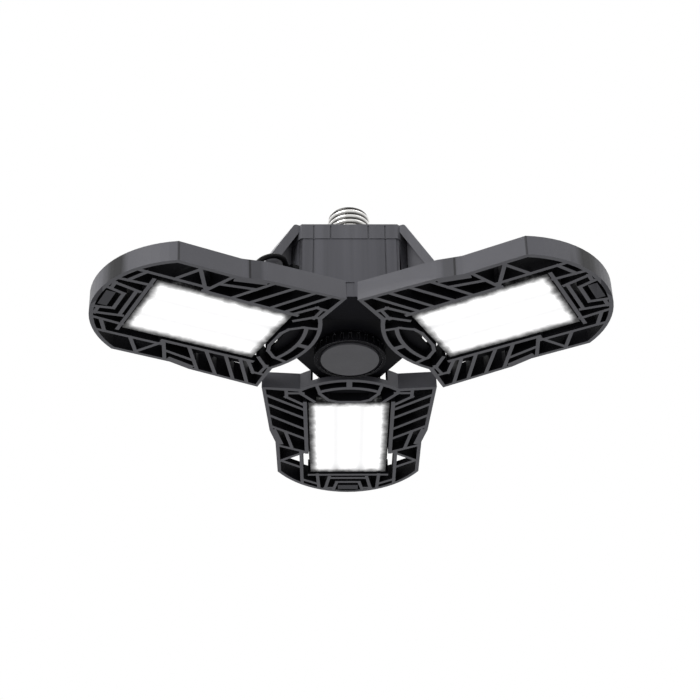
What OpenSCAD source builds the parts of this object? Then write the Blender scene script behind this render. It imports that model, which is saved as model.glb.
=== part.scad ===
// Three-panel folding garage light with a screw cap.
// Each panel is drawn with x pointing away from the lamp axis, y across the panel and z up,
// with its light face at height 0. The finished lamp is lowered so that the flat of the
// centre contact, where the lamp meets its socket, is the origin.

/* [Screw cap] */
// Diameter over the thread crests
thread_d = 26.2; // [25.8:0.1:26.6]
// Depth of the rolled thread
thread_depth = 1; // [0.6:0.1:1.4]
// Distance between threads
thread_pitch = 3.63; // [3.2:0.01:4]
// Length of the threaded shell
shell_h = 24; // [18:0.5:28]
// Metal thickness of the shell
shell_t = 0.6; // [0.4:0.1:0.9]
// Height of the insulating cone above the shell
cone_h = 1.5; // [1:0.1:3]
// Diameter of the centre contact
contact_d = 9; // [7:0.5:11]
// Height of the neck between the housing and the shell
neck_h = 5.5; // [4:0.5:14]

/* [Driver housing] */
// Radius of the housing at its rounded corners
hub_r = 42; // [41.5:0.1:43]
// Distance from the lamp axis to the three flat faces between the arms
hub_flat = 31.5; // [29:0.5:34]
// Distance from the lamp axis to the three faces behind the arms
hub_side = 40.5; // [39.5:0.1:41]
// Thickness of the housing wall
hub_wall = 2.4; // [1.6:0.2:3.2]
// Height of the underside of the housing above the light faces
hub_z = 9; // [8.6:0.1:12]
// Height of the whole housing with its crown
hub_h = 67; // [60:0.5:76]
// Height of the crown band at the top
crown_h = 10.5; // [9:0.5:14]
// How far the crown stands out past the housing wall
crown_step = 0.5; // [0.2:0.1:1]
// Width of the vertical grooves
groove_w = 0.9; // [0.6:0.1:1.4]
// Depth of the vertical grooves
groove_d = 0.6; // [0.3:0.1:1]
// How far the base stands out past the housing at its rounded corners
base_step = 1.5; // [0:0.1:2]
// Thickness of the base plate
base_t = 3; // [2:0.5:4]
// Height of the whole base, up to its seam with the housing
base_h = 15.5; // [12:0.5:18]

/* [Bottom cap] */
// Radius of the fluted cap
cap_r = 20.6; // [18:0.2:21]
// Height of the cap's face above the light faces
cap_z = 2.2; // [0.8:0.1:3]
// Number of flutes
flutes = 28; // [16:1:36]
// Radius of each flute
flute_r = 0.9; // [0.6:0.1:1.2]
// Radius of the plain disc in the cap
disc_r = 16.8; // [14:0.2:17.4]
// Thickness of the disc
disc_t = 2.4; // [1.6:0.2:3]

/* [Arms and hinges] */
// Distance from the lamp axis to the hinge axis
hinge_x = 58; // [57:0.5:60]
// Height of the hinge axis above the light faces
hinge_z = 28; // [27:0.5:30]
// Radius of the hinge knuckles
knuckle_r = 8; // [7:0.5:8.5]
// How far the arm's outer plate stands out past the knuckle
arm_step = 2; // [0:0.5:3]
// Width of the arm's knuckle
knuckle_w = 14; // [10:1:16]
// Lean of the arm's outer plate from the vertical
arm_lean = 27.9; // [26:0.1:30]
// Thickness of the arm's outer plate
arm_t = 5; // [3.5:0.5:5.5]
// Radius of the rounding at the top of the arm
arm_round = 3; // [1:0.5:4]
// Width of the arm's outer plate
arm_w = 24; // [20:1:26]
// Thickness of the web behind the plate
web_t = 6; // [4:0.5:8]
// Thickness of each bracket ear
ear_t = 4.2; // [3:0.2:5]
// Thickness of a friction washer
washer_t = 0.8; // [0.5:0.1:1.2]
// Diameter of the hinge bolt
bolt_d = 6; // [5:0.5:7]
// Tilt of the far panel, outer end up
tilt_far = -6.5; // [-7.5:0.5:90]
// Tilt of the left panel, outer end up
tilt_left = -3.5; // [-7.5:0.5:90]
// Tilt of the right panel, outer end up
tilt_right = -1; // [-7.5:0.5:90]

/* [Panel] */
// Height of the panel's wall
panel_h = 11.6; // [9:0.1:12]
// Thickness of the wall round the panel
rim_w = 2.3; // [2:0.1:3.4]
// Width of the lattice ribs
rib_w = 2.1; // [1.8:0.1:3]
// Half width at the inner corners
corner_y = 52.6; // [50:0.1:52.8]
// Distance from the lamp axis to the inner corners
corner_x = 34.7; // [34.4:0.1:36]
// Distance from the lamp axis to the tip of the curved inner edge
inner_x = 27.5; // [26:0.1:29]
// Radius of the curved inner edge
inner_r = 52.5; // [50:0.5:60]
// Half width of the curved inner edge
notch_y = 29.5; // [27:0.5:31]
// Distance from the lamp axis to the start of the side step
step_x = 80; // [76:0.5:83]
// Half width at the start of the side step
step_y = 49.9; // [48:0.1:51]
// Length of the side step
step_l = 13; // [10:0.5:16]
// Half width after the side step
tail_y = 46.8; // [45:0.1:48]
// Distance from the lamp axis to the outer tip
tip_x = 153.8; // [150:0.1:156]
// Radius of the outer end
tip_r = 55; // [53:0.5:60]
// Thickness of the lattice where it passes under the housing
relief_t = 3.5; // [2:0.1:3.6]

/* [Light unit] */
// Length of the board
board_l = 78; // [72:1:80]
// Width of the board
board_w = 50; // [46:1:50.5]
// Thickness of the board
board_t = 1.6; // [1:0.2:2.4]
// Height of the board's lit side above the light face
board_z = 4; // [3.4:0.2:4.6]
// Light chips along the board
chip_rows = 9; // [6:1:10]
// Light chips across the board
chip_columns = 6; // [3:1:8]
// Size of a light chip
chip_s = 4.6; // [3:0.2:5]
// Thickness of the clear cover
lens_t = 1; // [0.8:0.1:1.4]
// Height of the cover's face above the light face
lens_z = 0.9; // [0.9:0.1:1.4]
// Thickness of the tray that carries the board
tray_t = 2.5; // [2:0.5:3]
// Number of cooling fins
fins = 11; // [7:1:13]
// Height of the cooling fins
fin_h = 4.5; // [3:0.5:6]

/* [Lead] */
// Diameter of the lead to each panel
lead_d = 3; // [2.6:0.2:3.2]

/* [Hidden] */

$fn = 64;
// Azimuth and tilt of each panel
FAR = [90, tilt_far];
LEFT = [210, tilt_left];
RIGHT = [330, tilt_right];
SECTORS = [90, 210, 330];

tiny = 0.01;
fit = 0.05; // radial clearance of the hinge bolt
face_gap = 0.02; // clearance between a friction washer and the knuckle
seat = 0.3; // clearance where a piece sits in another
crown_z = hub_z + hub_h - crown_h; // seam between the housing and the crown
crown_top = hub_z + hub_h;
crown_roof = 3;
shell_z = crown_top + neck_h;
shell_top = shell_z + shell_h;
tip_z = shell_top + cone_h + 1; // flat of the centre contact
base_top = hub_z + base_t;
base_r = hub_r + base_step;
groove_places = [-27.5, -20.8, 20.8, 27.5]; // across each flat face
crown_groove_places = [-20.8, -11, 11, 20.8];
seam_z = hub_z + base_h; // seam between the base and the housing
channel_w = 5; // shallow channel in the middle of each flat face
channel_h = 10;
relief_gap = 5; // clearance of the panels round the housing
sheet_t = 0.8;
sheet_y = 27;
lip_h = 4; // lip of the base inside the wall
lip_t = 2;
boss_x = 31; // screw bosses inside the housing
boss_r = 3.6;
bore_r = bolt_d / 2 + fit;
tray_z = board_z + board_t; // underside of the tray
tray_top = tray_z + tray_t;
upstand_z = 14; // top of the wall across the tray's inner end
upstand_t = 2;
light_x = 91; // middle of the light unit
light_in = light_x - board_l / 2;
light_out = light_x + board_l / 2;
tray_mid = light_x + 10; // where the tray narrows
step_end = step_x + step_l;
ear_in = knuckle_w / 2 + washer_t;
ear_out = ear_in + ear_t;
bracket_t = 2.5;
bracket_in = 53;
bracket_out = 69;
bracket_y = 14;
bolt_head_h = 4.5;
bolt_head_d = 1.7 * bolt_d;
nut_h = 5;
chip_t = 0.8;
lead_gland_at = [72, 16.5];
hub_gland_at = [9, 45]; // across the arm, and height
gland_r = 3.2;
gland_h = 4;
gland_seat = 2; // how deep a lead sits in its gland
gland_stem_r = gland_r - 0.7;
hub_gland_x = hub_side; // shoulder of the gland on the wall

// ---------- placing ----------

module lamp() {
  translate([0, 0, -tip_z]) children();
}

// Puts a panel piece at its azimuth and tilt
module panel_at(place) {
  lamp()
    rotate([0, 0, place[0]])
      translate([hinge_x, 0, hinge_z])
        rotate([0, -place[1], 0])
          translate([-hinge_x, 0, -hinge_z])
            children();
}

// Repeats a piece of the hub towards each panel
module each_sector() {
  for (a = SECTORS) rotate([0, 0, a]) children();
}

// A profile in x and z, given a width along y
module across(w) {
  translate([0, w / 2, 0]) rotate([90, 0, 0]) linear_extrude(w) children();
}

// A round rod along the hinge axis
module hinge_rod(l, r) {
  translate([hinge_x, 0, hinge_z]) rotate([90, 0, 0]) cylinder(h = l, r = r, center = true);
}

// ---------- fasteners ----------

// A countersunk or pan screw pointing down, its head's top face at height 0
module screw(d, head_d, head_h, l) {
  difference() {
    union() {
      translate([0, 0, -head_h]) cylinder(h = head_h, d = head_d, $fn = 32);
      translate([0, 0, -l]) cylinder(h = l - head_h + tiny, d = d, $fn = 32);
    }
    translate([0, 0, -head_h * 0.6]) cylinder(h = head_h, d = head_d * 0.45, $fn = 6);
  }
}

// ---------- screw cap ----------

thread_sides = 24;
thread_steps = 8; // rings of points in one turn
shell_bore_r = thread_d / 2 - thread_depth - shell_t;
neck_post_r = shell_bore_r - seat;

// Radius of the rolled thread at an angle and a height
function thread_r(a, z) = thread_d / 2 - thread_depth / 2 * (1 - cos(a - 360 * z / thread_pitch));

// Faces that join rings of points into a closed body
function skin(rings, sides) = concat(
  [[for (k = [sides - 1:-1:0]) k]],
  [[for (k = [0:sides - 1]) (rings - 1) * sides + k]],
  [
    for (i = [0:rings - 2]) for (k = [0:sides - 1])
      let(a = i * sides + k, b = i * sides + (k + 1) % sides)
      each [[a, b, b + sides], [a, b + sides, a + sides]]
  ]
);

module threaded_rod(h) {
  steps = round(thread_steps * h / thread_pitch);
  points = [
    for (i = [0:steps]) for (k = [0:thread_sides - 1])
      let(z = h * i / steps, a = 360 * k / thread_sides)
      [thread_r(a, z) * cos(a), thread_r(a, z) * sin(a), z]
  ];
  polyhedron(points, skin(steps + 1, thread_sides));
}

module screw_shell() {
  color("gainsboro")
    lamp()
      difference() {
        translate([0, 0, shell_z]) threaded_rod(shell_h);
        translate([0, 0, shell_z - 1]) cylinder(h = shell_h + 2, r = shell_bore_r);
      }
}

module cap_insulator() {
  color("dimgray")
    lamp()
      translate([0, 0, shell_top - 4])
        difference() {
          union() {
            cylinder(h = 4, r = shell_bore_r - 0.1);
            translate([0, 0, 4]) cylinder(h = cone_h, r1 = shell_bore_r - 0.1, r2 = contact_d / 2 + 1);
          }
          translate([0, 0, 4 + cone_h - 1.5]) cylinder(h = 2, d = contact_d + 0.2);
        }
}

module centre_contact() {
  color("silver")
    lamp()
      translate([0, 0, shell_top + cone_h - 1.5])
        union() {
          cylinder(h = 1.5, d = contact_d);
          translate([0, 0, 1.5]) cylinder(h = 1, r1 = contact_d / 2, r2 = contact_d / 2 - 1.5);
        }
}

module cap_neck() {
  color("dimgray")
    lamp()
      difference() {
        union() {
          translate([0, 0, crown_top]) cylinder(h = neck_h / 2, r = thread_d / 2 + 3);
          translate([0, 0, crown_top + neck_h / 2])
            cylinder(h = neck_h / 2, r1 = thread_d / 2 + 2, r2 = thread_d / 2 + 1.2);
          translate([0, 0, shell_z]) cylinder(h = shell_h - 4, r = neck_post_r);
        }
        translate([0, 0, crown_top - 1]) cylinder(h = neck_h + shell_h, r = 7);
      }
}

// ---------- driver housing ----------

// Outline of the housing, d outside its wall: a circle with flat faces between and behind the arms
module hub_plan(d, r = hub_r) {
  difference() {
    circle(r + d, $fn = 120);
    for (a = SECTORS) {
      rotate([0, 0, a + 180]) translate([hub_flat + d, -2 * hub_r]) square([hub_r, 4 * hub_r]);
      rotate([0, 0, a]) translate([hub_side + d, -2 * hub_r]) square([hub_r, 4 * hub_r]);
    }
  }
}

// Vertical grooves on the flat faces
module hub_grooves(flat, places, z, h) {
  for (a = SECTORS) rotate([0, 0, a + 180]) {
    for (y = places) translate([flat - groove_d, y - groove_w / 2, z]) cube([groove_d + 3, groove_w, h]);
  }
}

// Shallow channel at the foot of each flat face
module hub_channels() {
  for (a = SECTORS)
    rotate([0, 0, a + 180])
      translate([hub_flat - groove_d, -channel_w / 2, seam_z - 1])
        cube([groove_d + 3, channel_w, channel_h + 1]);
}

module driver_housing() {
  wall_h = crown_z - seam_z;
  color("#4a4a50")
    lamp()
      difference() {
        translate([0, 0, seam_z]) linear_extrude(wall_h) hub_plan(0);
        translate([0, 0, seam_z - 1]) linear_extrude(wall_h + 2) hub_plan(-hub_wall);
        hub_grooves(hub_flat, groove_places, seam_z + 3, wall_h - 3);
        hub_channels();
        each_sector() gland_hole();
      }
  color("#4a4a50") lamp() each_sector() boss();
}

// Hole in the housing wall for a lead gland
module gland_hole() {
  translate([hub_side - 8, hub_gland_at[0], hub_gland_at[1]])
    rotate([0, 90, 0]) cylinder(h = 10, r = gland_stem_r + 0.1, $fn = 32);
}

// Post joined to the wall, with a screw from the base below and one from the crown above
module boss() {
  from = base_top + seat + 3;
  to = crown_top - crown_roof;
  rib_z = seam_z + lip_h + seat;
  difference() {
    union() {
      translate([boss_x, 0, from]) cylinder(h = to - from, r = boss_r, $fn = 32);
      translate([boss_x, -1.5, rib_z]) cube([hub_side - hub_wall - boss_x + 1, 3, crown_z - rib_z - seat]);
    }
    translate([boss_x, 0, from - 1]) cylinder(h = 9, r = screw_hole_r, $fn = 32);
    translate([boss_x, 0, to - 9]) cylinder(h = 10, r = screw_hole_r, $fn = 32);
  }
}

screw_hole_r = 1.6;

module housing_base() {
  color("#2b2b30")
    lamp()
      difference() {
        union() {
          translate([0, 0, hub_z]) linear_extrude(base_t) hub_plan(0, base_r);
          translate([0, 0, base_top])
            linear_extrude(seam_z - base_top)
              difference() {
                hub_plan(0, base_r);
                hub_plan(-hub_wall);
              }
          translate([0, 0, base_top])
            linear_extrude(seam_z + lip_h - base_top)
              difference() {
                hub_plan(-hub_wall - seat);
                hub_plan(-hub_wall - seat - lip_t);
              }
        }
        each_sector()
          translate([boss_x, 0, hub_z - 1]) {
            cylinder(h = base_t + 2, r = screw_hole_r, $fn = 32);
            cylinder(h = 2.2, r = 3.2, $fn = 32);
          }
      }
}

module base_screws() {
  color("gray")
    lamp()
      each_sector() translate([boss_x, 0, hub_z + 0.1]) mirror([0, 0, 1]) screw(3, 6, 1.1, 13);
}

// ---------- crown with three arms ----------

// Unit vectors along the arm's outer plate, upwards, and square to it, outwards
arm_up = [-sin(arm_lean), cos(arm_lean)];
arm_out = [cos(arm_lean), sin(arm_lean)];
hinge_at = [hinge_x, hinge_z];
plate_out = knuckle_r + arm_step; // outer face of the plate, from the hinge axis
root_h = 4.5; // height of the solid top that joins the arm to the crown
plate_from = 1.5 * knuckle_r * sin(acos(1 / 1.5)); // keeps the plate clear of the turning ears
plate_to = (crown_top - hinge_z - plate_out * arm_out[1]) / arm_up[1];

// Point at a distance up the arm and out from the hinge axis
function on_arm(up, out) = hinge_at + up * arm_up + out * arm_out;

// Rounded outer edge at the top of the arm
function arm_edge() =
  let(turn = 90 - arm_lean, x = on_arm(plate_to, plate_out)[0] - arm_round * tan(turn / 2))
  [
    for (i = [0:6])
      let(a = 90 - turn * i / 6) [x + arm_round * cos(a), crown_top - arm_round + arm_round * sin(a)]
  ];

module arm() {
  across(arm_w)
    polygon(concat(
      [[hub_side - 3, crown_top - root_h], [hub_side - 3, crown_top]], arm_edge(),
      [on_arm(plate_to - root_h / arm_up[1], plate_out - tiny)]
    ));
  across(arm_w)
    polygon(concat(
      [[on_arm(plate_to, plate_out)[0] - arm_t / arm_out[0], crown_top]], arm_edge(),
      [on_arm(plate_from, plate_out), on_arm(plate_from, plate_out - arm_t)]
    ));
  across(knuckle_w)
    polygon([on_arm(0, knuckle_r), on_arm(plate_from, knuckle_r), on_arm(plate_from + 3, plate_out - tiny),
      on_arm(plate_from + 3, 0), on_arm(0, 0)]);
  across(web_t)
    polygon(concat(
      [[hub_side - 3, crown_top]], arm_edge(),
      [
        on_arm(plate_from, plate_out - tiny), on_arm(0, knuckle_r), hinge_at, [hinge_x - 3, hinge_z - 7.4],
        [hub_side + crown_step, hinge_z - 6], [hub_side + crown_step, crown_z], [hub_side - 3, crown_z]
      ]
    ));
  hinge_rod(knuckle_w, knuckle_r);
}

module arm_crown() {
  color("#4a4a50")
    lamp()
      difference() {
        union() {
          translate([0, 0, crown_z]) linear_extrude(crown_h) hub_plan(crown_step);
          each_sector() arm();
        }
        translate([0, 0, crown_z - 1]) linear_extrude(crown_h - crown_roof + 1) hub_plan(-hub_wall);
        hub_grooves(hub_flat + crown_step, crown_groove_places, crown_z - 1, crown_h);
        translate([0, 0, crown_top - crown_roof - 1]) cylinder(h = crown_roof + 2, r = 7);
        each_sector() hinge_rod(arm_w, bore_r);
        each_sector() translate([boss_x, 0, crown_top - 1.6]) cylinder(h = 3, r = 3.2, $fn = 32);
        each_sector()
          translate([boss_x, 0, crown_top - crown_roof - 1]) cylinder(h = 6, r = screw_hole_r, $fn = 32);
      }
}

module crown_screws() {
  color("gray") lamp() each_sector() translate([boss_x, 0, crown_top - 0.4]) screw(3, 6, 1.2, 9);
}

// ---------- bottom cap ----------

groove_in = disc_r + 0.3;
cap_ring_r = cap_r - 1.6;

module bottom_cap() {
  cap_h = hub_z - cap_z;
  color("#4a4a50")
    lamp()
      translate([0, 0, cap_z])
        difference() {
          cylinder(h = cap_h, r = cap_r);
          translate([0, 0, -1]) cylinder(h = disc_t + 1, r = groove_in);
          translate([0, 0, -1]) cylinder(h = 1.8, r = cap_ring_r);
          for (i = [0:flutes - 1])
            rotate([0, 0, i * 360 / flutes])
              translate([cap_r + flute_r * 0.3, 0, 1.4]) cylinder(h = cap_h - 2.8, r = flute_r, $fn = 24);
        }
}

module bottom_disc() {
  color("#6a6a70") lamp() translate([0, 0, cap_z - 0.4]) cylinder(h = disc_t + 0.4, r = disc_r);
}

// ---------- driver inside the housing ----------

pcb_z = base_top + 8;
pcb_t = 1.6;
pcb_r = 26.5;
post_r = 22;
pcb_top = pcb_z + pcb_t;

module driver_board() {
  color("darkgreen")
    lamp()
      translate([0, 0, pcb_z])
        difference() {
          cylinder(h = pcb_t, r = pcb_r);
          for (a = SECTORS)
            rotate([0, 0, a + 60]) translate([post_r, 0, -1]) cylinder(h = 4, r = 1.6, $fn = 32);
        }
}

module board_posts() {
  color("silver")
    lamp()
      for (a = SECTORS)
        rotate([0, 0, a + 60])
          translate([post_r, 0, base_top]) {
            cylinder(h = pcb_z - base_top, r = 2.6, $fn = 32);
            cylinder(h = pcb_top - base_top, r = 1.5, $fn = 32);
            translate([0, 0, pcb_top - base_top]) cylinder(h = 1.5, r = 2.8, $fn = 32);
          }
}

module transformer() {
  core = [20, 22, 17];
  color("goldenrod")
    lamp()
      translate([-2, -1, pcb_top]) {
        translate([-core[0] / 2, -core[1] / 2, 0]) cube([core[0], 5, core[2]]);
        translate([-core[0] / 2, core[1] / 2 - 5, 0]) cube([core[0], 5, core[2]]);
        translate([-core[0] / 2, -core[1] / 2, 5]) cube([core[0], core[1], 7]);
        translate([0, core[1] / 2 - 5, core[2] / 2]) rotate([90, 0, 0]) cylinder(h = core[1] - 10, r = 7.5);
      }
}

module capacitors() {
  color("black")
    lamp() {
      translate([16, 0, pcb_top]) cylinder(h = 26, r = 6.5);
      translate([13.5, -14.5, pcb_top]) cylinder(h = 20, r = 5);
    }
}

module choke() {
  color("peru")
    lamp()
      translate([-4, 18.2, pcb_top])
        difference() {
          cylinder(h = 9, r = 6);
          translate([0, 0, -1]) cylinder(h = 11, r = 2.5);
        }
}

module board_parts() {
  color("#222222")
    lamp() {
      translate([-19, -6, pcb_top]) cube([4, 12, 10]);
      translate([-15, -19, pcb_top]) cube([11, 5, 8]);
      translate([5, 15, pcb_top]) cube([8, 6, 3]);
    }
}

// ---------- panel frame ----------

inner_c = inner_x + inner_r; // centre of the curved inner edge
tip_c = tip_x - tip_r; // centre of the outer end

function inner_arc(y, d) = [inner_c - sqrt(pow(inner_r - d, 2) - y * y), y];
function tip_angle(d) = asin((tail_y - d) / (tip_r - d));

// One side of the panel's outline, set in by d from the edge
function half_outline(d) = concat(
  [for (i = [0:6]) inner_arc(notch_y * i / 6, d)],
  [
    [corner_x + d, corner_y - d], [step_x, step_y - d], [step_end, tail_y - d]
  ],
  [
    for (i = [0:12])
      let(a = tip_angle(d) * (1 - i / 12)) [tip_c + (tip_r - d) * cos(a), (tip_r - d) * sin(a)]
  ]
);

function flipped(points) = [for (i = [len(points) - 2:-1:1]) [points[i][0], -points[i][1]]];

module outline(d) {
  half = half_outline(d);
  polygon(concat(half, flipped(half)));
}

// A straight rib between two points
module rib(from, to, w) {
  run = to - from;
  translate(from)
    rotate([0, 0, atan2(run[1], run[0])])
      translate([-w / 2, -w / 2]) square([norm(run) + w, w]);
}

pocket_y = board_w / 2 + 0.8; // inner face of the bar beside the light unit
bar_y = pocket_y + 1.2; // bar that carries the slanted ribs
spoke_y = 30.8; // long rib beside the light unit
tray_y = 40; // half width of the tray beside the slanted ribs

// Ribs on one side, each as two ends and a width
function side_ribs() = [
  // inner corner
  [[corner_x, 38], [45, 38], rib_w],
  [[41, 28], [41, 38], 2],
  [[corner_x + 1.5, 30.2], [41.5, 29], rib_w],
  [[41, 29.5], [49.5, 21.5], rib_w],
  [[44.5, 38.5], [53.5, 27], rib_w],
  // slanted ribs
  [[43.5, 49.5], [58.5, bar_y], rib_w],
  [[52.5, 49.5], [67.5, bar_y], rib_w],
  [[64, 49], [79.5, bar_y], rib_w],
  [[76, 48], [90, bar_y], rib_w],
  [[97.5, 44], [105, bar_y], rib_w],
  // the bent spoke and the long slot beside it
  [[81.5, 40], [99.5, 36.5], rib_w],
  [[80, 46.8], [94.5, 43.3], 2.6],
  // triangles beside the outer half
  [[105.5, 29.5], [114.5, 44], rib_w],
  [[104.5, spoke_y], [141.5, spoke_y], rib_w],
  // outer end
  [[137.5, spoke_y], [143.5, 20], rib_w],
  [[131.5, 20.5], [150, 19.5], rib_w],
  [[134.5, 12.5], [150, 15.5], rib_w],
  [[141, 7.5], [149.5, 9.5], rib_w],
  [[148.5, 9.5], [148.5, 15.5], rib_w],
  // inner edge: rails round the window
  [[inner_x + 4, 20], [42, 17.5], rib_w],
  [[42, 17.5], [48, 12.5], rib_w],
  [[48, 12.5], [50, 7], rib_w],
  // bar beside the light unit
  [[light_in - 1, bar_y], [105.5, bar_y], 2.4]
];

end_ribs = [[136, 12.5], [141, 7.5]]; // place and half length of the cross ribs at the outer end
end_pad = [145, 6.8]; // place and half width of the pad at the outer end
end_pad_l = 5;

// Thinner ribs that leave the outer triangles open
low_rib_h = 3.5;
function low_ribs() = [[[115, 43.5], [123, spoke_y], rib_w]];

module ribs(list) {
  for (r = list) {
    rib(r[0], r[1], r[2]);
    mirror([0, 1]) rib(r[0], r[1], r[2]);
  }
}

inner_rail_r = inner_r - 8.6; // second arc behind the curved inner edge

module lattice() {
  intersection() {
    outline(rim_w / 2);
    union() {
      ribs(side_ribs());
      rib([inner_x + 1, 0], [inner_x + 8, 0], 3.4);
      rib([light_in - 2, -7], [light_in - 2, 7], rib_w);
      rib([light_out + 2, -pocket_y], [light_out + 2, pocket_y], rib_w);
      for (end = end_ribs) rib([end[0], -end[1]], [end[0], end[1]], rib_w);
      translate([end_pad[0], -end_pad[1]]) square([end_pad_l, 2 * end_pad[1]]);
      intersection() {
        translate([inner_c, 0])
          difference() {
            circle(inner_rail_r + 1.2, $fn = 120);
            circle(inner_rail_r - 1.2, $fn = 120);
          }
        translate([inner_x, -19]) square([20, 38]);
      }
    }
  }
}

// Low walls across the tray's inner end, on both sides of the hinge bracket
module tray_upstands() {
  for (side = [0, 1])
    mirror([0, side])
      translate([light_in - 1.5, bracket_y + 0.6, tray_z])
        cube([upstand_t, pocket_y - bracket_y - 0.6, upstand_z - tray_z]);
}

// Clearance round the housing on the back of the panel
module housing_relief() {
  translate([0, 0, relief_t]) linear_extrude(panel_h) rotate(-SECTORS[0]) hub_plan(relief_gap);
}

module panel_frame() {
  color("#3c3c42")
    difference() {
      union() {
        linear_extrude(panel_h)
          difference() {
            outline(0);
            outline(rim_w);
          }
        linear_extrude(panel_h) lattice();
        linear_extrude(low_rib_h)
          intersection() {
            outline(rim_w / 2);
            ribs(low_ribs());
          }
        translate([light_in - 1.5, -pocket_y, tray_z]) cube([board_l + 4.5, 2 * pocket_y, tray_t]);
        translate([light_in - 1.5, -tray_y, tray_z]) cube([tray_mid - light_in + 1.5, 2 * tray_y, tray_t]);
        tray_upstands();
      }
      housing_relief();
      translate([light_in - seat, -board_w / 2 - seat, -1])
        cube([board_l + 2 * seat, board_w + 2 * seat, tray_z + 1]);
      board_screw_places() translate([0, 0, tray_z - 1]) cylinder(h = tray_t + 2, r = 1.1, $fn = 32);
      lead_hole(tray_z, tray_t, 1.8);
      bracket_screw_places() translate([0, 0, tray_z - 1]) cylinder(h = tray_t + 2, r = 1.6, $fn = 32);
    }
}

// Hole for the lead through a plate
module lead_hole(z, t, r) {
  translate([lead_gland_at[0], lead_gland_at[1], z - 1]) cylinder(h = t + 2, r = r, $fn = 32);
}

// Dark sheet on the thin inner end of the frame, behind the curved rails
module inner_sheet() {
  color("#141418")
    translate([0, 0, relief_t])
      linear_extrude(sheet_t)
        intersection() {
          outline(rim_w / 2);
          rotate(-SECTORS[0]) hub_plan(relief_gap - seat);
          translate([inner_x, -sheet_y]) square([hub_r, 2 * sheet_y]);
        }
}

// ---------- hinge ----------

module bracket_screw_places() {
  for (x = [bracket_in + 3, bracket_out - 3]) {
    for (y = [-1, 1]) translate([x, y * 3.8]) children();
  }
}

module bracket() {
  color("#2f2f34")
    difference() {
      union() {
        translate([bracket_in, -bracket_y, tray_top])
          cube([bracket_out - bracket_in, 2 * bracket_y, bracket_t]);
        for (side = [-1, 1])
          translate([0, side * (ear_in + ear_out) / 2, 0]) {
            across(ear_t)
              polygon([
                [bracket_in, tray_top], [bracket_out, tray_top],
                [hinge_x + knuckle_r, hinge_z], [hinge_x - knuckle_r, hinge_z]
              ]);
            hinge_rod(ear_t, knuckle_r);
          }
      }
      hinge_rod(3 * bracket_y, bore_r);
      bracket_screw_places() translate([0, 0, tray_top - 1]) cylinder(h = bracket_t + 2, r = 1.6, $fn = 32);
    }
}

module bracket_screws() {
  color("gray")
    bracket_screw_places()
      translate([0, 0, tray_top + bracket_t + 1.6]) screw(3, 5.4, 1.6, 1.6 + bracket_t + 2);
}

module hinge_bolt() {
  color("silver")
    translate([hinge_x, -ear_out, hinge_z])
      rotate([90, 0, 0])
        difference() {
          union() {
            cylinder(h = bolt_head_h, d = bolt_head_d);
            translate([0, 0, -2 * ear_out - nut_h - 1]) cylinder(h = 2 * ear_out + nut_h + 1, d = bolt_d);
          }
          translate([0, 0, bolt_head_h - 2.5]) cylinder(h = 3, d = bolt_d * 0.8, $fn = 6);
        }
}

module hinge_nut() {
  color("silver")
    translate([hinge_x, ear_out, hinge_z])
      rotate([-90, 0, 0])
        difference() {
          cylinder(h = nut_h, d = bolt_head_d * 1.1, $fn = 6);
          translate([0, 0, -1]) cylinder(h = nut_h + 2, r = bore_r);
        }
}

module hinge_washers() {
  color("lightgray")
    for (side = [-1, 1])
      translate([hinge_x, side * (knuckle_w + washer_t + face_gap) / 2, hinge_z])
        rotate([90, 0, 0])
          difference() {
            cylinder(h = washer_t - face_gap, r = knuckle_r - 1, center = true);
            cylinder(h = 2 * washer_t, r = bore_r, center = true);
          }
}

// ---------- light unit ----------

board_screw_x = board_l / 2 - 3.6;
board_screw_y = board_w / 2 - 3.2;
board_screw_h = 0.9; // height of the screw heads

module board_screw_places() {
  for (x = [-1, 1]) {
    for (y = [-1, 1]) translate([light_x + x * board_screw_x, y * board_screw_y]) children();
  }
}

module led_board() {
  color("white")
    difference() {
      translate([light_in, -board_w / 2, board_z]) cube([board_l, board_w, board_t]);
      board_screw_places() translate([0, 0, board_z - 1]) cylinder(h = board_t + 2, r = 1.3, $fn = 32);
      lead_hole(board_z, board_t, 1.3);
    }
}

chip_pitch_x = (board_l - 10) / chip_rows;
chip_pitch_y = (board_w - 8) / chip_columns;

module led_chips() {
  color("khaki")
    for (i = [0:chip_rows - 1]) {
      for (j = [0:chip_columns - 1])
        translate([
          light_x + (i - (chip_rows - 1) / 2) * chip_pitch_x,
          (j - (chip_columns - 1) / 2) * chip_pitch_y, board_z - chip_t
        ])
          translate([-chip_s / 2, -chip_s / 2, 0]) cube([chip_s, chip_s, chip_t]);
    }
}

module lens() {
  color([0.9, 0.95, 1, 0.35])
    difference() {
      translate([light_in, -board_w / 2, lens_z]) cube([board_l, board_w, board_z - lens_z]);
      translate([light_in + lens_t, -board_w / 2 + lens_t, lens_z + lens_t])
        cube([board_l - 2 * lens_t, board_w - 2 * lens_t, board_z]);
    }
}

module board_screws() {
  color("gray")
    board_screw_places()
      translate([0, 0, board_z - board_screw_h])
        mirror([0, 0, 1]) screw(2, 3.6, board_screw_h, tray_top - board_z + board_screw_h);
}

module heat_sink() {
  sink_in = bracket_out + 8;
  sink_l = light_out - sink_in;
  sink_y = board_w / 2 - 1.5;
  base = 1.6;
  color("#2f2f34") {
    translate([sink_in, -sink_y, tray_top]) cube([sink_l, 2 * sink_y, base]);
    for (i = [0:fins - 1])
      translate([sink_in, -sink_y + i * (2 * sink_y - 1.4) / (fins - 1), tray_top + base])
        cube([sink_l, 1.4, fin_h]);
  }
}

// ---------- leads ----------

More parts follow.
